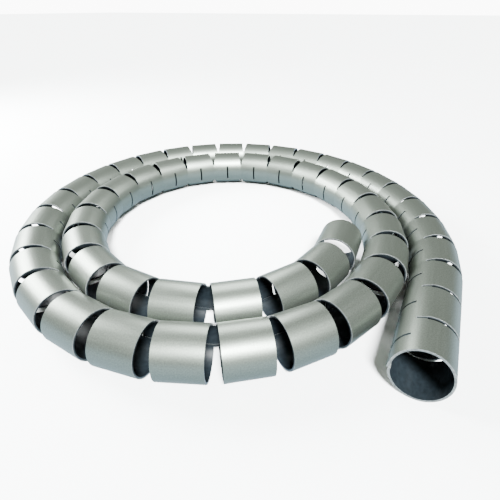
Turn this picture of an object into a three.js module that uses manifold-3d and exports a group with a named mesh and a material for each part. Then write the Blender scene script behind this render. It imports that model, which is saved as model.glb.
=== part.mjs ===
// Spiral cable wrap: one slotted plastic sleeve lying on a flat surface as a coil of two turns.
// Millimetres, +Z up, resting on z = 0. The open mouth looks along -Y.
import * as THREE from 'three';
import { mergeVertices } from 'three/addons/utils/BufferGeometryUtils.js';
import Module from 'manifold-3d';

// The sleeve itself.
const sleeveDiameter = 28;
const wallThickness = 1.1;
const ringCount = 55;
const sectionSides = 12;

// How the coil lies: a spiral, tucked in over its first rings and eased out again at the very
// end, then straight at the mouth.
const innerTurnRadius = 88.6;
const turnSpacing = 29.4;
const startBearing = 11.3;
const exitAngle = 735.5;
const totalAngle = 763.4;
const ovalAmount = 1.8;
const ovalBearing = 127.8;
const tuckAmount = 6.8;
const tuckAngle = 92.6;
const easeAmount = 6.6;
const easeAngle = 45;

// The uncut spine, as a height angle on the coil's inner side. It climbs towards the mouth.
const spineStartAngle = 20;
const spineClimbAngle = 22;
const spineTwistAngle = 15;

// The cuts.
const slotWidth = 2.2;
const spineWidthAngle = 7;
const backSlotWidth = 1.4;
const seamAngle = 63;
const seamGapAngle = 5;
const panelInset = 0.04;
const mouthTrim = 2.8;
const mouthLeanAngle = 8;

const rad = THREE.MathUtils.degToRad;
const sleeveRadius = sleeveDiameter / 2;
const boreRadius = sleeveRadius - wallThickness;

// The sleeve's centreline in plan, for a sweep in degrees from the inner end.
function spiralPoint(sweep) {
  const bearing = rad(startBearing - sweep);
  const oval = ovalAmount * Math.cos(2 * (bearing - rad(ovalBearing)));
  const tuck = tuckAmount * Math.max(0, 1 - sweep / tuckAngle) ** 2;
  const ease = easeAmount * Math.max(0, 1 - sweep / easeAngle) ** 2;
  const radius = innerTurnRadius + turnSpacing * sweep / 360 + oval - tuck + ease;
  return new THREE.Vector3(radius * Math.cos(bearing), radius * Math.sin(bearing), 0);
}

function coilPoint(sweep) {
  const point = spiralPoint(Math.min(sweep, exitAngle));
  if (sweep > exitAngle) {
    const direction = spiralPoint(exitAngle + 0.01).sub(spiralPoint(exitAngle - 0.01));
    point.addScaledVector(direction, (sweep - exitAngle) / 0.02);
  }
  return point;
}

// The outward direction in plan. The coil runs clockwise, so outward is to the left of travel.
function leftOf(direction) {
  return new THREE.Vector3(-direction.y, direction.x, 0).normalize();
}

function outwardAt(sweep) {
  return leftOf(coilPoint(sweep + 0.5).sub(coilPoint(sweep - 0.5)));
}

function spineAngle(part) {
  return spineStartAngle + spineClimbAngle * part + spineTwistAngle * part ** 8;
}

// The spine keeps its length when the sleeve is coiled, so the joints are evenly spaced along it.
class SpineLine extends THREE.Curve {
  getPoint(part, target = new THREE.Vector3()) {
    const sweep = part * totalAngle;
    const angle = rad(spineAngle(part));
    target.copy(coilPoint(sweep));
    target.addScaledVector(outwardAt(sweep), -sleeveRadius * Math.cos(angle));
    target.z = sleeveRadius * (1 + Math.sin(angle));
    return target;
  }
}

const spine = new SpineLine();
spine.arcLengthDivisions = 1500;

// One joint between each two rings: its place, its outward direction and half its bend.
const joints = [];
for (let index = 0; index <= ringCount; index += 1) {
  const part = spine.getUtoTmapping(index / ringCount);
  const centre = coilPoint(part * totalAngle).setZ(sleeveRadius);
  joints.push({ centre, spine: spineAngle(part) });
}

const ringAxes = [];
for (let index = 0; index < ringCount; index += 1) {
  ringAxes.push(joints[index + 1].centre.clone().sub(joints[index].centre).normalize());
}

for (let index = 0; index <= ringCount; index += 1) {
  const before = ringAxes[Math.max(index - 1, 0)];
  const after = ringAxes[Math.min(index, ringCount - 1)];
  const joint = joints[index];
  joint.forward = before.clone().add(after).normalize();
  joint.outward = leftOf(joint.forward);
  joint.halfBend = before.angleTo(after) / 2;
}

// Moves each vertex of a geometry with the given rule and hands the result over as a solid.
const wasm = await Module();
wasm.setup();

function solidFrom(geometry, move) {
  const raw = geometry.clone();
  raw.deleteAttribute('normal');
  raw.deleteAttribute('uv');
  const merged = mergeVertices(raw, 0.0001);
  const position = merged.getAttribute('position');
  const vertex = new THREE.Vector3();
  for (let index = 0; index < position.count; index += 1) {
    vertex.fromBufferAttribute(position, index);
    const moved = move(vertex.x, vertex.y, vertex.z);
    position.setXYZ(index, moved.x, moved.y, moved.z);
  }
  return new wasm.Manifold(new wasm.Mesh({
    numProp: 3,
    vertProperties: new Float32Array(position.array),
    triVerts: new Uint32Array(merged.getIndex().array),
  }));
}

// A point of a section: across is outward from the centreline, up is above it.
function onPlane(place, outward, forward, across, up, along) {
  const point = place.clone();
  point.addScaledVector(outward, across);
  point.addScaledVector(forward, along);
  point.z += up;
  return point;
}

// A C-shaped section between two angles, with flats under it, over it and at both sides.
function outlineRadius(apothem, angle) {
  const facet = 360 / sectionSides;
  return apothem / Math.cos(rad(angle - facet * Math.round(angle / facet)));
}

function arcPoints(apothem, from, to) {
  const facet = 360 / sectionSides;
  const angles = [from];
  for (let corner = (Math.ceil(from / facet - 0.5) + 0.5) * facet; corner < to; corner += facet) {
    if (corner - from > 0.2 && to - corner > 0.2) {
      angles.push(corner);
    }
  }
  angles.push(to);
  return angles.map((angle) => {
    const radius = outlineRadius(apothem, angle);
    return new THREE.Vector2(radius * Math.cos(rad(angle)), radius * Math.sin(rad(angle)));
  });
}

function sleeveSection(from, to, inset) {
  const outside = arcPoints(sleeveRadius - inset, from, to);
  const inside = arcPoints(boreRadius + inset, from, to);
  return new THREE.Shape([...outside, ...inside.reverse()]);
}

function extruded(shape, steps) {
  return new THREE.ExtrudeGeometry(shape, { depth: steps, steps, bevelEnabled: false });
}

// The last ring is cut short at the mouth, and a little aslant, with its top set back.
function mouthCut(height) {
  return mouthTrim + height * Math.tan(rad(mouthLeanAngle));
}

// The rings: straight lengths of sleeve. The bend opens the slots between them into wedges,
// because each ring ends square to its own axis, half a slot short of the hinge on the spine.
function ringSolid(index) {
  const start = joints[index];
  const finish = joints[index + 1];
  const axis = ringAxes[index];
  const outward = leftOf(axis);
  const spineHere = (start.spine + finish.spine) / 2;
  const hinge = sleeveRadius * Math.cos(rad(spineHere));
  const fullLength = start.centre.distanceTo(finish.centre);
  const near = index === 0 ? 0 : hinge * Math.tan(start.halfBend) + slotWidth / 2;
  const far = hinge * Math.tan(finish.halfBend) + slotWidth / 2;
  const from = 180 - spineHere + seamAngle + seamGapAngle - 360;
  const to = 180 - spineHere + spineWidthAngle / 2;
  return solidFrom(extruded(sleeveSection(from, to, 0), 1), (x, y, z) => {
    const end = index === ringCount - 1 ? mouthCut(y) : far;
    const along = near + z * (fullLength - near - end);
    return onPlane(start.centre, outward, axis, x, y, along);
  });
}

// The back panels: each crosses one joint, from the back slot before it to the one after it,
// and runs from the spine down the inner side to the lengthwise seam. Each is a little thinner
// than the ring, so the two meet on the spine without sharing a surface.
function panelSolid(index) {
  const joint = joints[index];
  const before = ringAxes[Math.max(index - 1, 0)];
  const after = ringAxes[Math.min(index, ringCount - 1)];
  const back = index === 0 ? 0 : joints[index - 1].centre.distanceTo(joint.centre) / 2 - backSlotWidth / 2;
  const ahead = index === ringCount ? 0 : joints[index + 1].centre.distanceTo(joint.centre) / 2
    - backSlotWidth / 2;
  const from = 180 - joint.spine - spineWidthAngle / 2;
  const to = 180 - joint.spine + seamAngle;
  const single = index === 0 || index === ringCount;
  return solidFrom(extruded(sleeveSection(from, to, panelInset), single ? 1 : 2), (x, y, z) => {
    const step = index === 0 ? z + 1 : z;
    if (step < 0.5) {
      return onPlane(joint.centre, leftOf(before), before, x, y, -back);
    }
    if (index === ringCount) {
      return onPlane(joint.centre, leftOf(before), before, x, y, -mouthCut(y));
    }
    if (step > 1.5) {
      return onPlane(joint.centre, leftOf(after), after, x, y, ahead);
    }
    return onPlane(joint.centre, joint.outward, joint.forward, x / Math.cos(joint.halfBend), y, 0);
  });
}

let wrap = ringSolid(0).add(panelSolid(0));
for (let index = 1; index < ringCount; index += 1) {
  wrap = wrap.add(panelSolid(index)).add(ringSolid(index));
}
wrap = wrap.add(panelSolid(ringCount));

// The finished solid as one named piece, centred over the origin.
const result = wrap.getMesh();
const geometry = new THREE.BufferGeometry();
geometry.setAttribute('position', new THREE.BufferAttribute(new Float32Array(result.vertProperties), 3));
geometry.setIndex(new THREE.BufferAttribute(new Uint32Array(result.triVerts), 1));
geometry.computeBoundingBox();
const middle = geometry.boundingBox.getCenter(new THREE.Vector3());
geometry.translate(-middle.x, -middle.y, 0);
geometry.computeVertexNormals();

const material = new THREE.MeshStandardMaterial({ color: 0x9ea19f, roughness: 0.42, metalness: 0.35 });
material.name = 'silver_grey_plastic';
const mesh = new THREE.Mesh(geometry, material);
mesh.name = 'cable_wrap';

const cableWrap = new THREE.Group();
cableWrap.name = 'spiral_cable_wrap';
cableWrap.add(mesh);

export default cableWrap;
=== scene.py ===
import bpy
from math import atan2, cos, degrees, pi, radians, sin, tan
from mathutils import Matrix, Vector


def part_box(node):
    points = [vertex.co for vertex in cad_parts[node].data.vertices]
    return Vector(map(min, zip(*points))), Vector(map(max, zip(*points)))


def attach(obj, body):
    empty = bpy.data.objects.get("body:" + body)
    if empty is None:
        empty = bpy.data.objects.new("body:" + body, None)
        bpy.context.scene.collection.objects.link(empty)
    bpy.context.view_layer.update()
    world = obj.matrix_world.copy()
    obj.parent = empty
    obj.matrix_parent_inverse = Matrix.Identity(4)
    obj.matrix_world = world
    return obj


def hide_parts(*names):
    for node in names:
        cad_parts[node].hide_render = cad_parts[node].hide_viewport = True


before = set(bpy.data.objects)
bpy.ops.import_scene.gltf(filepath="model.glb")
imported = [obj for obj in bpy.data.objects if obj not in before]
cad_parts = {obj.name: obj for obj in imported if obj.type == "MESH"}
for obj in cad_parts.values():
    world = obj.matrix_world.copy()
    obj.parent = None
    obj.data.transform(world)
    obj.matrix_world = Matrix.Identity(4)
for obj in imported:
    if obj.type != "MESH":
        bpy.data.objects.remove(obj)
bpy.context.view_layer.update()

# The camera: close to the coil and just left of its mouth, looking down on it through a wide lens,
# so the near turns are much larger than the far ones.
bpy.ops.object.select_all(action="DESELECT")
bpy.ops.object.camera_add(location=(0.1172, -0.2103, 0.1481),
                          rotation=(radians(55.9), 0, radians(26.8)))
camera = bpy.context.object
camera.name = "camera"
camera.data.lens = 25.86
camera.data.sensor_width = 36
camera.data.clip_start = 0.01
bpy.context.scene.camera = camera

# The sleeve: one extruded and slotted tube of silver grey plastic, about 1.4 m long and coiled flat.
# Wide slots cut almost all the way round part it into rings, which hang on one uncut spine on the
# coil's inner side. A narrow slot crosses the back of each ring, and an open seam runs lengthwise.
sleeve_radius = 0.014
sleeve_wall = 0.0011
ring_count = 55

inner_turn_radius = 0.0886
turn_spacing = 0.0294
start_bearing = 11.3
exit_sweep = 735.5
total_sweep = 763.4
oval_amount = 0.0018
oval_bearing = 127.8
tuck_amount = 0.0068
tuck_sweep = 92.6
ease_amount = 0.0066
ease_sweep = 45


def spiral_point(sweep):
    bearing = radians(start_bearing - sweep)
    oval = oval_amount * cos(2 * (bearing - radians(oval_bearing)))
    tuck = tuck_amount * max(0, 1 - sweep / tuck_sweep) ** 2
    ease = ease_amount * max(0, 1 - sweep / ease_sweep) ** 2
    radius = inner_turn_radius + turn_spacing * sweep / 360 + oval - tuck + ease
    return Vector((radius * cos(bearing), radius * sin(bearing), 0))


def coil_point(sweep):
    point = spiral_point(min(sweep, exit_sweep))
    if sweep > exit_sweep:
        heading = spiral_point(exit_sweep + 0.01) - spiral_point(exit_sweep - 0.01)
        point += heading * (sweep - exit_sweep) / 0.02
    return point


def left_of(direction):
    return Vector((-direction.y, direction.x, 0)).normalized()


def spine_angle(part):
    return radians(20 + 22 * part + 15 * part ** 8)


def spine_point(part):
    sweep = part * total_sweep
    outward = left_of(coil_point(sweep + 0.5) - coil_point(sweep - 0.5))
    angle = spine_angle(part)
    across = outward * sleeve_radius * cos(angle)
    return coil_point(sweep) - across + Vector((0, 0, sleeve_radius * sin(angle)))


# The joints between the rings are evenly spaced along the spine, which keeps its length.
steps = 1500
lengths = [0]
last = spine_point(0)
for step in range(1, steps + 1):
    here = spine_point(step / steps)
    lengths.append(lengths[-1] + (here - last).length)
    last = here
ring_pitch = lengths[-1] / ring_count
joint_parts = []
step = 0
for index in range(ring_count + 1):
    wanted = index * ring_pitch
    while step < steps - 1 and lengths[step + 1] < wanted:
        step += 1
    share = (wanted - lengths[step]) / (lengths[step + 1] - lengths[step])
    joint_parts.append((step + min(share, 1)) / steps)
joint_points = [coil_point(part * total_sweep) for part in joint_parts]
ring_axes = [(joint_points[i + 1] - joint_points[i]).normalized() for i in range(ring_count)]
half_bends = [0.0]
for i in range(1, ring_count):
    half_bends.append(ring_axes[i - 1].angle(ring_axes[i]) / 2)
half_bends.append(0.0)

# One ring as it is cut, standing on end, with its spine at +X.
slot_half = 0.0011 / ring_pitch
tail_half = 0.0007 / ring_pitch
back_half = 0.0007 / ring_pitch
side_count = 72
side_angle = 360 / side_count
spine_half = side_angle / 2
seam_angle = 62.5
seam_gap = 0.8
tail_angle = -22.5
lip_reach = 15
lip_lift = 0.0005
mouth_trim = 0.0028
mouth_lean = radians(8)
bpy.ops.mesh.primitive_cylinder_add(vertices=side_count, radius=sleeve_radius, depth=ring_pitch,
                                    end_fill_type="NOTHING", location=(0, 0, ring_pitch / 2),
                                    rotation=(0, 0, radians(spine_half)))
sleeve = bpy.context.object
sleeve.name = "sleeve"
bpy.ops.object.transform_apply(location=True, rotation=True, scale=True)
bpy.ops.object.mode_set(mode="EDIT")
for part in (tail_half, slot_half, 0.5 - back_half, 0.5 + back_half, 1 - slot_half, 1 - tail_half):
    bpy.ops.mesh.select_all(action="SELECT")
    bpy.ops.mesh.bisect(plane_co=(0, 0, part * ring_pitch), plane_no=(0, 0, 1))
bpy.ops.object.mode_set(mode="OBJECT")


def around(point):
    angle = degrees(atan2(point.y, point.x))
    return angle - 360 if angle > seam_angle + seam_gap / 2 else angle


def in_slot(face):
    angle = degrees(atan2(face.center.y, face.center.x))
    part = face.center.z / ring_pitch
    if seam_angle < angle < seam_angle + side_angle:
        return angle < seam_angle + seam_gap
    if spine_half < angle < seam_angle:
        return abs(part - 0.5) < back_half
    if tail_angle < angle < -spine_half:
        return part < tail_half or part > 1 - tail_half
    if -spine_half < angle < spine_half:
        return False
    return part < slot_half or part > 1 - slot_half


# The seam: a narrow strip is split off the side of the ring past it and taken out with the slots.
bpy.ops.object.mode_set(mode="EDIT")
bpy.ops.mesh.select_mode(type="FACE")
bpy.ops.mesh.select_all(action="DESELECT")
bpy.ops.object.mode_set(mode="OBJECT")
for face in sleeve.data.polygons:
    angle = degrees(atan2(face.center.y, face.center.x))
    face.select = seam_angle < angle < seam_angle + side_angle
bpy.ops.object.mode_set(mode="EDIT")
cut = radians(seam_angle + seam_gap)
bpy.ops.mesh.bisect(plane_co=(0, 0, 0), plane_no=(-sin(cut), cos(cut), 0))
bpy.ops.mesh.select_all(action="DESELECT")
bpy.ops.object.mode_set(mode="OBJECT")
for face in sleeve.data.polygons:
    face.select = in_slot(face)
bpy.ops.object.mode_set(mode="EDIT")
bpy.ops.mesh.delete(type="FACE")
bpy.ops.object.mode_set(mode="OBJECT")

repeat = sleeve.modifiers.new("repeat", "ARRAY")
repeat.count = ring_count
repeat.use_relative_offset = False
repeat.use_constant_offset = True
repeat.constant_offset_displace = (0, 0, ring_pitch)
repeat.use_merge_vertices = True
repeat.merge_threshold = 0.00001
bpy.ops.object.modifier_apply(modifier="repeat")

# The half slots at both ends are sawn off.
first_end = slot_half * ring_pitch
last_end = (ring_count - slot_half) * ring_pitch
bpy.ops.object.mode_set(mode="EDIT")
bpy.ops.mesh.select_all(action="SELECT")
bpy.ops.mesh.bisect(plane_co=(0, 0, first_end), plane_no=(0, 0, 1), clear_inner=True)
bpy.ops.mesh.select_all(action="SELECT")
bpy.ops.mesh.bisect(plane_co=(0, 0, last_end), plane_no=(0, 0, 1), clear_outer=True)
bpy.ops.object.mode_set(mode="OBJECT")


# The sleeve is laid along the coil. Each ring stays straight and square to its own axis, and only
# the back gives: there the joint lies on the plane halfway between its two rings.
def laid(point):
    along = point.z / ring_pitch
    index = min(int(along + 0.0001), ring_count - 1)
    share = along - index
    if index == 0:
        share = (share - slot_half) / (1 - slot_half)
    elif index == ring_count - 1:
        share = share / (1 - slot_half)
    turn = radians(around(point))
    part = joint_parts[index] + (joint_parts[index + 1] - joint_parts[index]) * share
    angle = pi - spine_angle(part) + turn
    radius = Vector((point.x, point.y)).length
    # the upper lip of the seam stands a little proud of the lower one
    past = degrees(turn)
    upper_lip = past - seam_angle + lip_reach
    lower_lip = seam_angle - 360 + lip_reach - past
    if upper_lip > 0:
        radius += lip_lift * (upper_lip / lip_reach) ** 2
    elif lower_lip > 0:
        radius -= lip_lift * (lower_lip / lip_reach) ** 2
    across = radius * cos(angle)
    up = radius * sin(angle)
    axis = ring_axes[index]
    length = (joint_points[index + 1] - joint_points[index]).length
    hinge = sleeve_radius * cos(spine_angle(part))
    reach = -across if past > -spine_half - 0.1 else hinge
    near = reach * tan(half_bends[index])
    far = reach * tan(half_bends[index + 1])
    if index == ring_count - 1:
        far = mouth_trim + up * tan(mouth_lean)
    place = joint_points[index] + axis * (near + share * (length - near - far))
    return place + left_of(axis) * across + Vector((0, 0, sleeve_radius + up))


straight = [vertex.co.copy() for vertex in sleeve.data.vertices]
uv = sleeve.data.uv_layers.active
for loop in sleeve.data.loops:
    point = straight[loop.vertex_index]
    uv.data[loop.index].uv = (point.z, radians(around(point)) * sleeve_radius)
for vertex, point in zip(sleeve.data.vertices, straight):
    vertex.co = laid(point)

low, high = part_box("cable_wrap")
xs = [vertex.co.x for vertex in sleeve.data.vertices]
ys = [vertex.co.y for vertex in sleeve.data.vertices]
shift = Vector(((low[0] + high[0] - min(xs) - max(xs)) / 2,
                (low[1] + high[1] - min(ys) - max(ys)) / 2, 0))
for vertex in sleeve.data.vertices:
    vertex.co += shift

# The grain of the extruded plastic: fine flakes of pigment, and long draw lines along the tube.
grain = bpy.data.node_groups.new("extruded_grain", "ShaderNodeTree")
grain.interface.new_socket("Surface", in_out="INPUT", socket_type="NodeSocketVector")
grain.interface.new_socket("Flakes per metre", in_out="INPUT", socket_type="NodeSocketFloat")
grain.interface.new_socket("Lines per metre", in_out="INPUT", socket_type="NodeSocketFloat")
grain.interface.new_socket("Flakes", in_out="OUTPUT", socket_type="NodeSocketFloat")
grain.interface.new_socket("Lines", in_out="OUTPUT", socket_type="NodeSocketFloat")
given = grain.nodes.new("NodeGroupInput")
result = grain.nodes.new("NodeGroupOutput")
flakes = grain.nodes.new("ShaderNodeTexNoise")
flakes.inputs["Detail"].default_value = 3
flakes.inputs["Roughness"].default_value = 0.6
grain.links.new(given.outputs["Surface"], flakes.inputs["Vector"])
grain.links.new(given.outputs["Flakes per metre"], flakes.inputs["Scale"])
grain.links.new(flakes.outputs["Fac"], result.inputs["Flakes"])
stretch = grain.nodes.new("ShaderNodeMapping")
stretch.inputs["Scale"].default_value = (0.06, 1, 1)
lines = grain.nodes.new("ShaderNodeTexNoise")
lines.inputs["Detail"].default_value = 4
grain.links.new(given.outputs["Surface"], stretch.inputs["Vector"])
grain.links.new(stretch.outputs["Vector"], lines.inputs["Vector"])
grain.links.new(given.outputs["Lines per metre"], lines.inputs["Scale"])
grain.links.new(lines.outputs["Fac"], result.inputs["Lines"])

# The outer skin: silver grey and satin.
outside = bpy.data.materials.new("silver_grey_plastic")
outside.use_nodes = True
nodes = outside.node_tree.nodes
links = outside.node_tree.links
shader = nodes["Principled BSDF"]
shader.inputs["Metallic"].default_value = 0.92
shader.inputs["Specular IOR Level"].default_value = 0.4
surface = nodes.new("ShaderNodeUVMap")
surface.uv_map = uv.name
marks = nodes.new("ShaderNodeGroup")
marks.node_tree = grain
marks.inputs["Flakes per metre"].default_value = 1300
marks.inputs["Lines per metre"].default_value = 700
links.new(surface.outputs["UV"], marks.inputs["Surface"])
tone = nodes.new("ShaderNodeValToRGB")
tone.color_ramp.elements[0].position = 0.3
tone.color_ramp.elements[0].color = (0.112, 0.126, 0.108, 1)
tone.color_ramp.elements[1].position = 0.7
tone.color_ramp.elements[1].color = (0.163, 0.182, 0.158, 1)
links.new(marks.outputs["Flakes"], tone.inputs["Fac"])
links.new(tone.outputs["Color"], shader.inputs["Base Color"])
gloss = nodes.new("ShaderNodeMapRange")
gloss.inputs["From Min"].default_value = 0.3
gloss.inputs["From Max"].default_value = 0.7
gloss.inputs["To Min"].default_value = 0.37
gloss.inputs["To Max"].default_value = 0.41
links.new(marks.outputs["Lines"], gloss.inputs["Value"])
links.new(gloss.outputs["Result"], shader.inputs["Roughness"])
ridge = nodes.new("ShaderNodeBump")
ridge.inputs["Strength"].default_value = 0.05
ridge.inputs["Distance"].default_value = 0.0002
links.new(marks.outputs["Flakes"], ridge.inputs["Height"])
links.new(ridge.outputs["Normal"], shader.inputs["Normal"])
sleeve.data.materials.append(outside)

# The inner wall: nearly black, partly the plastic's dark core and partly painted shade inside the
# tube.
inside = bpy.data.materials.new("dark_inner_wall_painted_shade")
inside.use_nodes = True
nodes = inside.node_tree.nodes
links = inside.node_tree.links
shader = nodes["Principled BSDF"]
shader.inputs["Specular IOR Level"].default_value = 0.22
surface = nodes.new("ShaderNodeUVMap")
surface.uv_map = uv.name
marks = nodes.new("ShaderNodeGroup")
marks.node_tree = grain
marks.inputs["Flakes per metre"].default_value = 500
marks.inputs["Lines per metre"].default_value = 400
links.new(surface.outputs["UV"], marks.inputs["Surface"])
# the near-black tone: the dark core, darkened further as painted shade of the tube's hollow
tone = nodes.new("ShaderNodeValToRGB")
tone.color_ramp.elements[0].position = 0.3
tone.color_ramp.elements[0].color = (0.003, 0.0045, 0.0058, 1)
tone.color_ramp.elements[1].position = 0.7
tone.color_ramp.elements[1].color = (0.0065, 0.0095, 0.012, 1)
links.new(marks.outputs["Flakes"], tone.inputs["Fac"])
links.new(tone.outputs["Color"], shader.inputs["Base Color"])
gloss = nodes.new("ShaderNodeMapRange")
gloss.inputs["From Min"].default_value = 0.3
gloss.inputs["From Max"].default_value = 0.7
gloss.inputs["To Min"].default_value = 0.36
gloss.inputs["To Max"].default_value = 0.5
links.new(marks.outputs["Lines"], gloss.inputs["Value"])
links.new(gloss.outputs["Result"], shader.inputs["Roughness"])
sleeve.data.materials.append(inside)

# The cut edges: rough, and fading from the pale skin to the dark core with the depth in the wall; the
# lips of the narrow back slots take the dark end as painted shade.
cut_edge = bpy.data.materials.new("sawn_edge")
cut_edge.use_nodes = True
nodes = cut_edge.node_tree.nodes
links = cut_edge.node_tree.links
shader = nodes["Principled BSDF"]
shader.inputs["Roughness"].default_value = 0.35
place = nodes.new("ShaderNodeTexCoord")
depth = nodes.new("ShaderNodeAttribute")
depth.attribute_name = "depth_and_slot_shade"
core_and_slot_shade = nodes.new("ShaderNodeValToRGB")
core_and_slot_shade.color_ramp.elements[0].position = 0.1
core_and_slot_shade.color_ramp.elements[0].color = (1, 1, 1, 1)
core_and_slot_shade.color_ramp.elements[1].position = 0.5
core_and_slot_shade.color_ramp.elements[1].color = (0.06, 0.07, 0.08, 1)
lip = core_and_slot_shade.color_ramp.elements.new(0.38)
lip.color = (0.5, 0.5, 0.5, 1)
links.new(depth.outputs["Fac"], core_and_slot_shade.inputs["Fac"])
marks = nodes.new("ShaderNodeGroup")
marks.node_tree = grain
marks.inputs["Flakes per metre"].default_value = 900
marks.inputs["Lines per metre"].default_value = 2500
links.new(place.outputs["Object"], marks.inputs["Surface"])
tone = nodes.new("ShaderNodeValToRGB")
tone.color_ramp.elements[0].position = 0.35
tone.color_ramp.elements[0].color = (0.09, 0.098, 0.097, 1)
tone.color_ramp.elements[1].position = 0.75
tone.color_ramp.elements[1].color = (0.24, 0.26, 0.26, 1)
links.new(marks.outputs["Flakes"], tone.inputs["Fac"])
layers = nodes.new("ShaderNodeMix")
layers.data_type = "RGBA"
layers.blend_type = "MULTIPLY"
layers.inputs["Factor"].default_value = 1
links.new(tone.outputs["Color"], layers.inputs[6])
links.new(core_and_slot_shade.outputs["Color"], layers.inputs[7])
links.new(layers.outputs[2], shader.inputs["Base Color"])
ridge = nodes.new("ShaderNodeBump")
ridge.inputs["Strength"].default_value = 0.2
ridge.inputs["Distance"].default_value = 0.0001
links.new(marks.outputs["Lines"], ridge.inputs["Height"])
links.new(ridge.outputs["Normal"], shader.inputs["Normal"])
sleeve.data.materials.append(cut_edge)

wall = sleeve.modifiers.new("wall", "SOLIDIFY")
wall.thickness = sleeve_wall
wall.offset = -1
wall.material_offset = 1
wall.material_offset_rim = 2
skin_count = len(sleeve.data.vertices)
bpy.ops.object.modifier_apply(modifier="wall")

# The depth in the wall, from 0 at the pale skin to 1 in the dark core. The sawn ends count as shallow
# right through, which keeps them fairly pale, and the lips of the narrow back slots are set half
# deep, which paints them dark: painted shade in those narrow slits.
depth_values = sleeve.data.attributes.new("depth_and_slot_shade", "FLOAT", "POINT")
for index, value in enumerate(depth_values.data):
    point = straight[index % skin_count]
    outer = index < skin_count
    sawn = point.z < first_end + 0.0001 or point.z > last_end - 0.0001
    on_back = spine_half - 0.1 < around(point) < seam_angle
    # the lips of the narrow back slots, which get painted shade
    back_slot_painted_shade = on_back and abs(point.z / ring_pitch % 1 - 0.5) < back_half * 1.05
    if sawn:
        value.value = 0.26 if outer else 0.4
    elif outer:
        # painted shade: the back slot lips come out dark, while the plain skin stays pale
        value.value = 0.5 if back_slot_painted_shade else 0.1
    else:
        value.value = 1.0

edge = sleeve.modifiers.new("edge", "BEVEL")
edge.width = 0.00015
edge.segments = 1
edge.material = 2
edge.limit_method = "ANGLE"
edge.angle_limit = radians(50)
bpy.ops.object.modifier_apply(modifier="edge")
bpy.ops.object.shade_smooth_by_angle(angle=radians(35))

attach(sleeve, "root")
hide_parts("cable_wrap")

# The floor: a plain sheet of white paper, which the camera sees as bright as the backdrop and which
# throws back a cooler, dimmer light on the sleeve.
bpy.ops.object.select_all(action="DESELECT")
bpy.ops.mesh.primitive_plane_add(size=20, location=(0, 0, -0.0002))
floor = bpy.context.object
floor.name = "floor"
paper = bpy.data.materials.new("white_paper")
paper.use_nodes = True
nodes = paper.node_tree.nodes
links = paper.node_tree.links
dim = nodes["Principled BSDF"]
dim.inputs["Base Color"].default_value = (0.14, 0.187, 0.232, 1)
dim.inputs["Roughness"].default_value = 0.8
bright = nodes.new("ShaderNodeBsdfPrincipled")
bright.inputs["Base Color"].default_value = (0.9, 0.9, 0.9, 1)
bright.inputs["Roughness"].default_value = 0.8
seen = nodes.new("ShaderNodeLightPath")
either = nodes.new("ShaderNodeMixShader")
links.new(seen.outputs["Is Camera Ray"], either.inputs["Fac"])
links.new(dim.outputs["BSDF"], either.inputs[1])
links.new(bright.outputs["BSDF"], either.inputs[2])
links.new(either.outputs["Shader"], nodes["Material Output"].inputs["Surface"])
floor.data.materials.append(paper)

# The light: a soft lamp high behind the camera, a round window up on the left and near the coil, a
# small panel low over its middle for the tops of the nearest rings, and a pale room that the camera
# sees as plain white.
bpy.ops.object.light_add(type="SUN", location=(0.38, -0.5, 0.78))
high_lamp = bpy.context.object
high_lamp.name = "high_lamp"
high_lamp.data.energy = 32
high_lamp.data.color = (0.96, 1.0, 1.0)
high_lamp.data.angle = radians(15)
high_lamp.rotation_euler = Vector((-0.38, 0.5, -0.78)).to_track_quat("-Z", "Y").to_euler()
bpy.ops.object.light_add(type="AREA", location=(-0.62, -0.08, 0.34))
left_window = bpy.context.object
left_window.name = "left_window"
left_window.data.shape = "DISK"
left_window.data.size = 0.34
left_window.data.energy = 28
left_window.data.color = (0.96, 1.0, 1.0)
left_window.visible_camera = False
left_window.rotation_euler = Vector((0.5, 0.03, -0.33)).to_track_quat("-Z", "Y").to_euler()
bpy.ops.object.light_add(type="AREA", location=(-0.03, 0.03, 0.15))
near_panel = bpy.context.object
near_panel.name = "near_panel"
near_panel.data.size = 0.12
near_panel.data.energy = 0.8
near_panel.data.color = (0.96, 1.0, 1.0)
near_panel.visible_camera = False
near_panel.rotation_euler = Vector((0.09, -0.14, -0.13)).to_track_quat("-Z", "Y").to_euler()
world = bpy.data.worlds.new("room")
world.use_nodes = True
room = world.node_tree
air = room.nodes["Background"]
air.inputs["Color"].default_value = (0.93, 1.0, 0.85, 1)
air.inputs["Strength"].default_value = 0.29
backdrop = room.nodes.new("ShaderNodeBackground")
backdrop.inputs["Color"].default_value = (1, 1, 1, 1)
backdrop.inputs["Strength"].default_value = 10.5
seen = room.nodes.new("ShaderNodeLightPath")
either = room.nodes.new("ShaderNodeMixShader")
room.links.new(seen.outputs["Is Camera Ray"], either.inputs["Fac"])
room.links.new(air.outputs["Background"], either.inputs[1])
room.links.new(backdrop.outputs["Background"], either.inputs[2])
room.links.new(either.outputs["Shader"], room.nodes["World Output"].inputs["Surface"])
bpy.context.scene.world = world
